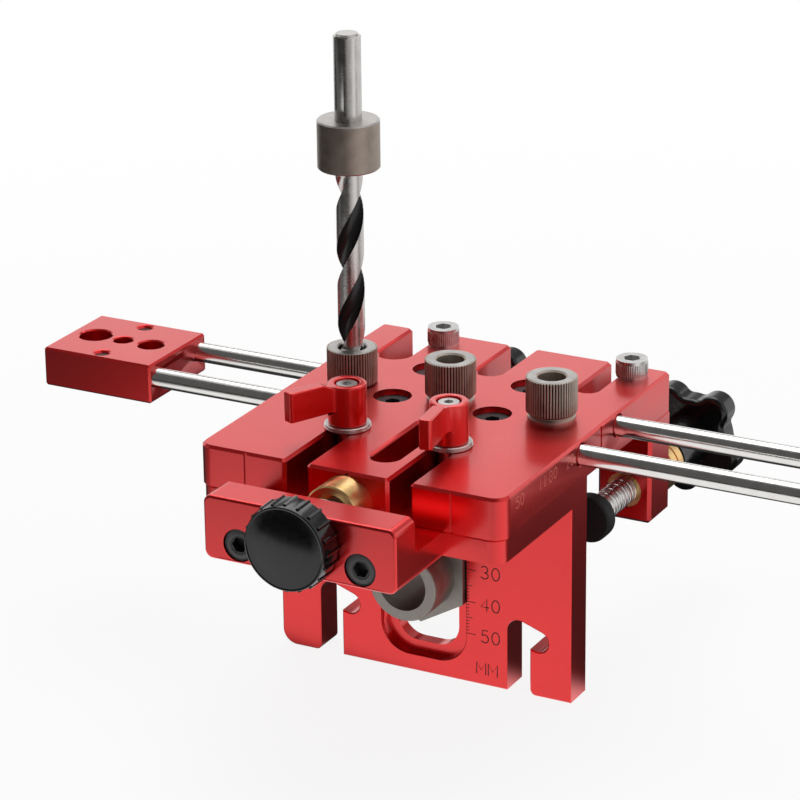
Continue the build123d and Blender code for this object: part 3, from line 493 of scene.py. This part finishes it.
# the rim's points: in from the front's radius, and up from the dome's edge
knobRim = ((0, -0.6), (0.2, 0.1), (0.5, 0.3), (0.9, 0.12))
low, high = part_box("adjust_knob")
centre = (low + high) / 2 / mm
deep = (high.y - low.y) / mm
facing = along((0, high.y / mm, centre.z), front)
profile = [(0, 0), (knob["back"] - knob["backEdge"], 0), (knob["back"], knob["backEdge"])]
for inward, rise in knobRim:
    profile.append((knob["front"] - inward, deep - knob["dome"] + rise))
for i in range(knob["domeSteps"] - 1, -1, -1):
    share = i / knob["domeSteps"]
    profile.append(((knob["front"] - knob["domeInset"]) * share, deep - knob["dome"] * share ** 2))
mesh = latheMesh("adjustKnobBody", profile, facing, knob["steps"])
placePiece("adjustKnobBody", mesh, "adjuster", blackPlastic, stands="adjust_knob")
growPiece("adjustKnobRibs", ribTree, {
    "Count": knob["ribs"], "Radius": knob["ribAt"] * mm, "Rib Radius": knob["rib"] * mm,
    "Length": (deep - knob["ribShort"]) * mm, "Tilt": -knob["taper"], "Material": blackPlastic},
    facing @ Matrix.Translation((0, 0, (deep / 2 - knob["ribBack"]) * mm)), "adjuster")
print("knob done")


# cap screws: the raised face between the head's rounded edge and its socket, drawn paler

screwFace = {"head": 4.5, "socket": 2.65, "mouth": 0.02, "inner": 2.85, "outer": 3.55, "proud": 0.18,
             "edge": 4.0, "lip": 0.04, "sunk": 0.1, "steps": 64}
low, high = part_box("front_bar_screws")
for side, x in (("left", low.x / mm + screwFace["head"]), ("right", high.x / mm - screwFace["head"])):
    name = "barScrewFace" + side.title()
    mesh = latheMesh(name, [
        (screwFace["socket"], -screwFace["sunk"]), (screwFace["edge"], -screwFace["sunk"]),
        (screwFace["edge"], screwFace["lip"]), (screwFace["outer"], screwFace["proud"]),
        (screwFace["inner"], screwFace["proud"]), (screwFace["socket"], screwFace["mouth"])],
        along((x, low.y / mm, (low.z + high.z) / 2 / mm), front), screwFace["steps"])
    # the screw's face is drawn in the paler black oxide
    placePiece(name, mesh, "base", paleBlackSteel)


# clamp bolts: fine knurl round their heads

bolt = {"head": 4.6, "headTall": 5.3, "ridges": 48, "ridge": 0.22, "ridgeAt": 4.55, "from": 0.7, "to": 4.3}
low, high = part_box("clamp_bolts")
for side, x in (("left", low.x / mm + bolt["head"]), ("right", high.x / mm - bolt["head"])):
    y = (low.y + high.y) / 2 / mm
    middle = high.z / mm - bolt["headTall"] + (bolt["from"] + bolt["to"]) / 2
    growPiece("clampBoltKnurl" + side.title(), ribTree, {
        "Count": bolt["ridges"], "Radius": bolt["ridgeAt"] * mm, "Rib Radius": bolt["ridge"] * mm,
        "Length": (bolt["to"] - bolt["from"]) * mm, "Tilt": 0.0, "Material": zincSteel},
        along((x, y, middle), up), "plate")


# threads on the clamp screws and the adjusting screw, from and to in mm along each screw

screwThread = {"pitch": 1.25, "ridge": 0.36, "sunk": 0.12}
threads = {
    "clamp_screw_left": {"body": "left_clamp_screw", "from": 1.5, "to": 48.5},
    "clamp_screw_right": {"body": "right_clamp_screw", "from": 1.5, "to": 48.5},
    "adjust_screw": {"body": "adjuster", "from": 10.0, "to": 30.0},
}
for node, span in threads.items():
    low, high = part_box(node)
    centre = (low + high) / 2 / mm
    radius = (high.x - low.x) / 2
    growPiece(node + "Thread", threadTree, {
        "Radius": radius - screwThread["sunk"] * mm, "Pitch": screwThread["pitch"] * mm,
        "Turns": (span["to"] - span["from"]) / screwThread["pitch"], "Ridge": screwThread["ridge"] * mm,
        "Material": zincSteel},
        along((centre.x, low.y / mm + span["from"], centre.z), back), span["body"])
print("threads done")


# drill: the flutes are blackened, the lands and the shank are ground bright

drill = {"land": 3.8, "fluteTop": 67.5, "endNormal": 0.7}  # endNormal is the least z of an end face's normal
low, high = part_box("drill_bit")
centre = (low + high) / 2
mesh = smoothPieces["drill_bit"].data
mesh.materials.append(drillBlack)
for face in mesh.polygons:
    inward = math.hypot(face.center.x - centre.x, face.center.y - centre.y) < drill["land"] * mm
    if inward and face.center.z < drill["fluteTop"] * mm and abs(face.normal.z) < drill["endNormal"]:
        face.material_index = 1


# stop collar: blackened round the side; the faces that look up get paler ground steel, partly a ground face
# and partly a painted highlight on the top

collar = {"upward": 0.5}  # the least z of such a face's normal
mesh = smoothPieces["stop_collar"].data
mesh.materials.append(toolSteelTop)
for face in mesh.polygons:
    # painted highlight: the faces that look up are drawn paler, where light falls on the top
    if face.normal.z > collar["upward"]:
        face.material_index = 1


# engraved scale on the fence and ruler on the plate's side

def arcPoints(cx, cy, rx, ry, first, last, count=14):
    turns = [math.radians(first + (last - first) * i / count) for i in range(count + 1)]
    return [(cx + rx * math.cos(t), cy + ry * math.sin(t)) for t in turns]


# each letter's lines, in shares of its height
strokes = {
    "0": [arcPoints(0.32, 0.5, 0.3, 0.48, 90, 450, 24)],
    "2": [arcPoints(0.32, 0.7, 0.28, 0.28, 165, -35) + [(0.04, 0.02), (0.62, 0.02)]],
    "3": [arcPoints(0.3, 0.73, 0.25, 0.25, 155, -90) + arcPoints(0.29, 0.25, 0.3, 0.24, 90, -155)],
    "4": [[(0.48, 0), (0.48, 0.98), (0.02, 0.3), (0.66, 0.3)]],
    "5": [[(0.56, 0.97), (0.14, 0.97), (0.09, 0.55)] + arcPoints(0.3, 0.32, 0.3, 0.31, 125, -150)],
    "M": [[(0.02, 0), (0.02, 0.98), (0.4, 0.35), (0.78, 0.98), (0.78, 0)]],
}
lettering = {"relief": 0.03, "digitWidth": 0.86, "letterWidth": 0.98}  # widths in shares of the height


def addStroke(shape, points, width, relief):
    # a flat ribbon along the points, closed all round
    rows = []
    for i, point in enumerate(points):
        ahead = Vector(points[min(i + 1, len(points) - 1)]) - Vector(points[max(i - 1, 0)])
        side = Vector((-ahead.y, ahead.x)).normalized() * width / 2
        here = Vector(point)
        rows.append([shape.verts.new((*(here + side * s), z)) for s, z in
                     ((1, -relief), (-1, -relief), (-1, relief), (1, relief))])
    for first, second in zip(rows, rows[1:]):
        for i in range(4):
            k = (i + 1) % 4
            shape.faces.new((first[i], first[k], second[k], second[i]))
    shape.faces.new(rows[0][::-1])
    shape.faces.new(rows[-1])


def writeText(name, text, height, width, place, body, material):
    mesh = bpy.data.meshes.new(name)
    shape = bmesh.new()
    x = 0.0
    for letter in text:
        for points in strokes[letter]:
            placed = [((x + px) * height * mm, py * height * mm) for px, py in points]
            addStroke(shape, placed, width * mm, lettering["relief"] * mm)
        x += lettering["digitWidth"] if letter.isdigit() else lettering["letterWidth"]
    bmesh.ops.recalc_face_normals(shape, faces=shape.faces)
    shape.to_mesh(mesh)
    shape.free()
    mesh.transform(place)
    placePiece(name, mesh, body, material)


def onFace(origin, across, rising):
    # a frame whose x and y lie on a face, origin in mm
    x = Vector(across)
    y = Vector(rising)
    turn = Matrix((x, y, x.cross(y))).transposed().to_4x4()
    return Matrix.Translation(Vector(origin) * mm) @ turn


def drawTicks(name, count, marks, place, body, material):
    growPiece(name, tickTree, {
        "Count": count, "Spacing": -marks["spacing"] * mm, "Line": marks["line"] * mm,
        "Relief": marks["relief"] * mm, "Short": marks["short"] * mm, "Middle": marks["middle"] * mm,
        "Long": marks["long"] * mm, "Material": material}, place, body)


scale = {"x": 13.8, "first": 20, "last": 50, "zero": -1.5, "spacing": 1.0, "line": 0.22, "relief": 0.06,
         "short": 1.05, "middle": 2.05, "long": 3.1, "readings": (30, 40, 50), "digits": 4.0, "digitX": 18.5,
         "stroke": 0.34, "unitX": 17.05, "unitZ": -63.6, "unit": 3.8}
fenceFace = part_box("fence")[0].y / mm
drawTicks("fenceTicks", scale["last"] - scale["first"] + 1, scale,
          onFace((scale["x"], fenceFace, scale["zero"] - scale["first"]), right, up), "base", engraved)
for reading in scale["readings"]:
    at = (scale["digitX"], fenceFace, scale["zero"] - reading - scale["digits"] / 2)
    writeText(f"fenceDigits{reading}", str(reading), scale["digits"], scale["stroke"], onFace(at, right, up),
              "base", engraved)
writeText("fenceUnit", "MM", scale["unit"], scale["stroke"],
          onFace((scale["unitX"], fenceFace, scale["unitZ"]), right, up), "base", engraved)

ruler = {"ticks": 35, "ticksFrom": -46.0, "ticksZ": 0.8, "spacing": 1.0, "line": 0.14, "relief": 0.04,
         "short": 1.6, "middle": 2.2, "long": 2.9, "digits": 3.3, "digitsZ": 6.9, "stroke": 0.22}
rulerTexts = {"50": -46.6, "MM": -31.4, "30": -25.9, "20": -15.1}  # where each starts along the side
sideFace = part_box("drill_plate")[1].x / mm
drawTicks("sideTicks", ruler["ticks"], ruler,
          onFace((sideFace, ruler["ticksFrom"], ruler["ticksZ"]), up, front), "plate", faintEngraved)
for text, y in rulerTexts.items():
    writeText(f"sideDigits{text}", text, ruler["digits"], ruler["stroke"],
              onFace((sideFace, y, ruler["digitsZ"]), back, up), "plate", brightEngraved)
print("engraving done")


# floor: near white to the camera, matt in diffuse light, and glowing cards in what mirrors it

studio = {"floorZ": -67.0, "floorSize": 4000, "floor": "#F4F4F4", "white": "#FFFFFF", "cardSlant": 0.15,
          "bare": 0.04, "card": 1.12}
floorSteps = {  # direction, where the step starts and ends in mm, value before and after it
    "front": ("y", -268, -256, 0.0, 1.0),
    "left": ("x", -200, -120, 0.22, 1.0),
    "back": ("slant", -18, 6, 1.0, 0.0),
    "rightFill": ("x", 150, 230, 0.0, 0.45),
    "rearFill": ("y", 165, 205, 0.0, 0.9),
    "far": ("away", 260, 650, 0.88, 1.0),
}
half = studio["floorSize"] * mm / 2
corners = [(x * half, y * half, studio["floorZ"] * mm) for x, y in ((-1, -1), (1, -1), (1, 1), (-1, 1))]
floorMesh = bpy.data.meshes.new("floor")
floorMesh.from_pydata(corners, [], [(0, 1, 2, 3)])
floor = linkNew("floor", floorMesh)
material, tree, where = startMaterial("paleFloor")
spot = addNode(tree, "ShaderNodeSeparateXYZ", {0: where}).outputs
lean = addNode(tree, "ShaderNodeMath", {0: spot["X"], 1: studio["cardSlant"]}, operation="MULTIPLY")
slant = addNode(tree, "ShaderNodeMath", {0: spot["Y"], 1: lean}, operation="SUBTRACT")
away = addNode(tree, "ShaderNodeVectorMath", {0: where}, operation="LENGTH").outputs["Value"]
ways = {"x": spot["X"], "y": spot["Y"], "slant": slant, "away": away}
soft = {}
for name, (way, start, end, before, after) in floorSteps.items():
    soft[name] = addNode(tree, "ShaderNodeMapRange", {
        "Value": ways[way], "From Min": start * mm, "From Max": end * mm, "To Min": before, "To Max": after},
        interpolation_type="SMOOTHSTEP")
sides = addNode(tree, "ShaderNodeMath", {0: soft["front"], 1: soft["left"]}, operation="MULTIPLY")
card = addNode(tree, "ShaderNodeMath", {0: sides, 1: soft["back"]}, operation="MULTIPLY")
cardGlow = addNode(tree, "ShaderNodeMapRange", {
    "Value": card, "To Min": studio["bare"], "To Max": studio["card"]}, interpolation_type="SMOOTHSTEP")
nearGlow = addNode(tree, "ShaderNodeMath", {0: cardGlow, 1: soft["rightFill"]}, operation="MAXIMUM")
glow = addNode(tree, "ShaderNodeMath", {0: nearGlow, 1: soft["rearFill"]}, operation="MAXIMUM")
mirrored = addNode(tree, "ShaderNodeEmission", {"Color": hexColour(studio["white"]), "Strength": glow})
matt = addNode(tree, "ShaderNodeBsdfDiffuse", {"Color": hexColour(studio["floor"])})
white = addNode(tree, "ShaderNodeEmission", {"Color": hexColour(studio["white"]), "Strength": 1.0})
path = addNode(tree, "ShaderNodeLightPath").outputs
pale = addNode(tree, "ShaderNodeMath", {0: path["Is Camera Ray"], 1: soft["far"]}, operation="MULTIPLY")
seen = addNode(tree, "ShaderNodeMixShader", {0: pale, 1: matt, 2: white})
sheen = addNode(tree, "ShaderNodeMath", {
    0: path["Is Glossy Ray"], 1: path["Is Transmission Ray"]}, operation="MAXIMUM")
shader = addNode(tree, "ShaderNodeMixShader", {0: sheen, 1: seen, 2: mirrored})
addNode(tree, "ShaderNodeOutputMaterial", {"Surface": shader})
floorMesh.materials.append(material)


# room: a softbox overhead, a bright backdrop behind and a fill at the right, plain white to the camera

room = {"dark": 0.11, "bright": 1.12}
roomSteps = {  # direction, where the step starts and ends, value before and after it
    "overhead": ("Z", 0.5, 0.62, 0.0, 0.6),
    "overheadFront": ("Y", -0.35, -0.05, 0.0, 1.0),
    "behind": ("Y", -0.1, 0.2, 0.0, 1.0),
    "behindTop": ("Z", 0.355, 0.4, 1.0, 0.3),
    "rightFill": ("X", 0.45, 0.75, 0.0, 0.7),
}
world = bpy.data.worlds.new("studioWorld")
bpy.context.scene.world = world
world.use_nodes = True
tree = world.node_tree
tree.nodes.clear()
sky = addNode(tree, "ShaderNodeTexCoord").outputs["Generated"]
ways = addNode(tree, "ShaderNodeSeparateXYZ", {0: sky}).outputs
soft = {}
for name, (way, start, end, before, after) in roomSteps.items():
    soft[name] = addNode(tree, "ShaderNodeMapRange", {
        "Value": ways[way], "From Min": start, "From Max": end, "To Min": before, "To Max": after},
        interpolation_type="SMOOTHSTEP")
softbox = addNode(tree, "ShaderNodeMath", {
    0: soft["overhead"], 1: soft["overheadFront"]}, operation="MULTIPLY")
backdrop = addNode(tree, "ShaderNodeMath", {0: soft["behind"], 1: soft["behindTop"]}, operation="MULTIPLY")
brighter = addNode(tree, "ShaderNodeMath", {0: softbox, 1: backdrop}, operation="MAXIMUM")
brightest = addNode(tree, "ShaderNodeMath", {0: brighter, 1: soft["rightFill"]}, operation="MAXIMUM")
lit = addNode(tree, "ShaderNodeMapRange", {
    "Value": brightest, "To Min": room["dark"], "To Max": room["bright"]}, interpolation_type="SMOOTHSTEP")
light = addNode(tree, "ShaderNodeBackground", {"Color": hexColour(studio["white"]), "Strength": lit})
white = addNode(tree, "ShaderNodeBackground", {"Color": hexColour(studio["white"]), "Strength": 1.0})
path = addNode(tree, "ShaderNodeLightPath").outputs
mixed = addNode(tree, "ShaderNodeMixShader", {0: path["Is Camera Ray"], 1: light, 2: white})
addNode(tree, "ShaderNodeOutputWorld", {"Surface": mixed})


# one soft lamp above and behind, and the camera of the photograph

topLight = {"at": (-0.25, 0.45, 1.0), "size": 0.9, "power": 6}
lamp = bpy.data.lights.new("topLight", "AREA")
lamp.size = topLight["size"]
lamp.energy = topLight["power"]
lampObject = linkNew("topLight", lamp)
lampObject.location = topLight["at"]
lampObject.rotation_euler = (-Vector(topLight["at"])).to_track_quat("-Z", "Y").to_euler()  # at the origin

camera = {"at": (430.535, -830.317, 373.286), "forward": (-0.439269, 0.823824, -0.358268), "roll": -0.665,
          "lens": 158.541, "sensor": 36.0, "near": 0.01, "far": 20.0}
cameraData = bpy.data.cameras.new("camera")
cameraData.lens = camera["lens"]
cameraData.sensor_width = camera["sensor"]
cameraData.clip_start = camera["near"]
cameraData.clip_end = camera["far"]
cameraObject = linkNew("camera", cameraData)
turn = Vector(camera["forward"]).to_track_quat("-Z", "Y").to_matrix().to_4x4()
roll = Matrix.Rotation(math.radians(camera["roll"]), 4, "Z")
cameraObject.matrix_world = Matrix.Translation(Vector(camera["at"]) * mm) @ turn @ roll
bpy.context.scene.camera = cameraObject
bpy.context.scene.view_settings.view_transform = "Standard"
print("studio ready")
